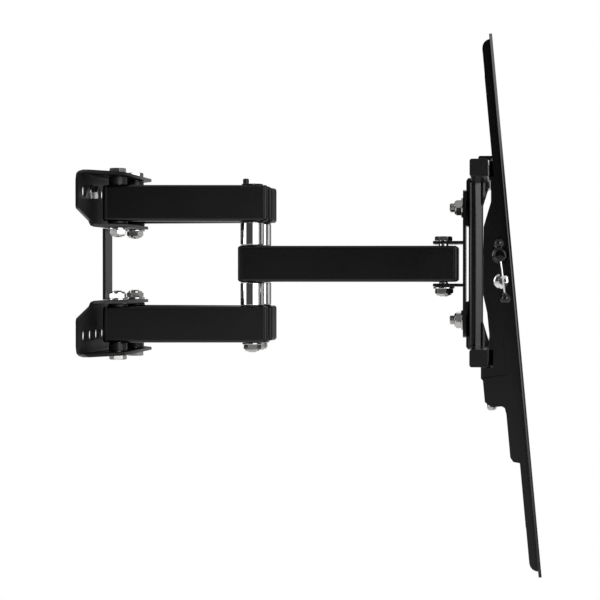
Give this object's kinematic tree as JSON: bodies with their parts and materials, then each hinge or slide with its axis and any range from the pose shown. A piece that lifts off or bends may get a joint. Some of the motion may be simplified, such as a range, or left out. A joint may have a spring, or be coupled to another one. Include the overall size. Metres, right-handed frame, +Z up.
{
  "type": "full motion tv wall mount",
  "caption": "Folding wall mount for a flat screen: wall channels, jointed twin arms, a clevis and a tilting head with two slotted screen arms.",
  "frame": {"origin": "middle of the wall plane, half way between the two wall channels, on the back of the centre strap", "axes": "+X away from the wall, towards the screen; +Y along the wall, to the left of someone who faces the wall; +Z up"},
  "size_m": [0.3698, 0.292, 0.4189],
  "materials": {
    "black_paint": "satin black powder coat",
    "black_plastic": "moulded, low sheen",
    "zinc": "bright zinc plate",
    "bright_chrome": "polished",
    "grey_nylon": "plain nylon"
  },
  "bodies": {
    "wall_bracket": {"wall_channel_top": "black_paint", "wall_channel_bottom": "black_paint", "centre_strap": "black_paint", "wall_bolt": "zinc", "shoulder_bolt_near_top": "zinc", "shoulder_nut_near_top": "zinc", "shoulder_spacer_near_top": "grey_nylon", "shoulder_bolt_near_bottom": "zinc", "shoulder_nut_near_bottom": "zinc", "shoulder_spacer_near_bottom": "grey_nylon", "shoulder_bolt_far_top": "zinc", "shoulder_nut_far_top": "zinc", "shoulder_spacer_far_top": "grey_nylon", "shoulder_bolt_far_bottom": "zinc", "shoulder_nut_far_bottom": "zinc", "shoulder_spacer_far_bottom": "grey_nylon"},
    "upper_arms_near": {"upper_arm_near_top": "black_paint", "elbow_sleeve_near_top": "bright_chrome", "upper_arm_near_bottom": "black_paint", "elbow_sleeve_near_bottom": "bright_chrome", "elbow_bolt_near": "zinc", "elbow_nut_near": "zinc"},
    "forearm_near": {"forearm_near": "black_paint"},
    "upper_arms_far": {"upper_arm_far_top": "black_paint", "elbow_sleeve_far_top": "bright_chrome", "upper_arm_far_bottom": "black_paint", "elbow_sleeve_far_bottom": "bright_chrome", "elbow_bolt_far": "zinc", "elbow_nut_far": "zinc"},
    "forearm_far": {"forearm_far": "black_paint"},
    "clevis": {"clevis": "black_paint", "clevis_bolt_near": "zinc", "clevis_nut_near": "zinc", "clevis_bolt_far": "zinc", "clevis_nut_far": "zinc"},
    "head": {"head_column": "black_paint", "rail_top": "black_paint", "head_bolt_top": "zinc", "head_nut_top": "zinc", "rail_cap_near_top": "black_plastic", "rail_cap_far_top": "black_plastic", "rail_bottom": "black_paint", "head_bolt_bottom": "zinc", "head_nut_bottom": "zinc", "rail_cap_near_bottom": "black_plastic", "rail_cap_far_bottom": "black_plastic"},
    "hanger_near": {"hanger_near": "black_paint", "tilt_bolt_near": "bright_chrome"},
    "screen_arm_near": {"screen_arm_near": "black_paint", "security_screw_near": "zinc"},
    "clamp_near": {"clamp_screw_near": "black_plastic"},
    "clamp_bar_near": {"clamp_bar_near": "bright_chrome"},
    "hanger_far": {"hanger_far": "black_paint", "tilt_bolt_far": "bright_chrome"},
    "screen_arm_far": {"screen_arm_far": "black_paint", "security_screw_far": "zinc"},
    "clamp_far": {"clamp_screw_far": "black_plastic"},
    "clamp_bar_far": {"clamp_bar_far": "bright_chrome"}
  },
  "joints": [
    {"name": "fold", "type": "hinge", "parent": "wall_bracket", "child": "upper_arms_near", "pos_m": [0.0204, -0.038, 0], "axis": [0, 0, -1], "range_deg": [0, 72]},
    {"name": "elbow_near", "type": "hinge", "parent": "upper_arms_near", "child": "forearm_near", "pos_m": [0.1318, -0.025, 0], "axis": [0, 0, 1], "range_deg": [0, 119.9]},
    {"name": "wrist_near", "type": "hinge", "parent": "forearm_near", "child": "clevis", "pos_m": [0.2909, -0.018, 0], "axis": [0, 0, -1], "range_deg": [0, 47.9]},
    {"name": "shoulder_far", "type": "hinge", "parent": "wall_bracket", "child": "upper_arms_far", "pos_m": [0.0204, 0.038, 0], "axis": [0, 0, 1], "range_deg": [0, 72.1]},
    {"name": "elbow_far", "type": "hinge", "parent": "upper_arms_far", "child": "forearm_far", "pos_m": [0.1318, 0.025, 0], "axis": [0, 0, -1], "range_deg": [0, 119.9]},
    {"name": "level", "type": "hinge", "parent": "clevis", "child": "head", "pos_m": [0.3094, 0, 0], "axis": [1, 0, 0], "range_deg": [-3, 3]},
    {"name": "slide_near", "type": "slide", "parent": "head", "child": "hanger_near", "axis": [0, -1, 0], "range_m": [-0.06, 0.02]},
    {"name": "slide_far", "type": "slide", "parent": "head", "child": "hanger_far", "axis": [0, 1, 0], "range_m": [-0.06, 0.02]},
    {"name": "tilt_near", "type": "hinge", "parent": "hanger_near", "child": "screen_arm_near", "pos_m": [0.3386, -0.10825, -0.014], "axis": [0, 1, 0], "range_deg": [0, 10]},
    {"name": "tilt_far", "type": "hinge", "parent": "hanger_far", "child": "screen_arm_far", "pos_m": [0.3386, 0.10825, -0.014], "axis": [0, 1, 0], "range_deg": [0, 10.1]},
    {"name": "clamp_turn_near", "type": "hinge", "parent": "hanger_near", "child": "clamp_near", "pos_m": [0.3376, -0.141, 0.006], "axis": [0, 1, 0], "continuous": true},
    {"name": "bar_slide_near", "type": "slide", "parent": "clamp_near", "child": "clamp_bar_near", "axis": [-0.1219, 0, 0.9925], "range_m": [0, 0.024]},
    {"name": "clamp_turn_far", "type": "hinge", "parent": "hanger_far", "child": "clamp_far", "pos_m": [0.3376, 0.141, 0.006], "axis": [0, 1, 0], "continuous": true},
    {"name": "bar_slide_far", "type": "slide", "parent": "clamp_far", "child": "clamp_bar_far", "axis": [-0.1219, 0, 0.9925], "range_m": [0, 0.024]}
  ],
  "couplings": [
    {"joint": "elbow_near", "follows": "fold", "ratio": 1.665},
    {"joint": "wrist_near", "follows": "fold", "ratio": 0.665},
    {"joint": "shoulder_far", "follows": "fold", "ratio": 1},
    {"joint": "elbow_far", "follows": "fold", "ratio": 1.665},
    {"joint": "tilt_far", "follows": "tilt_near", "ratio": 1}
  ]
}
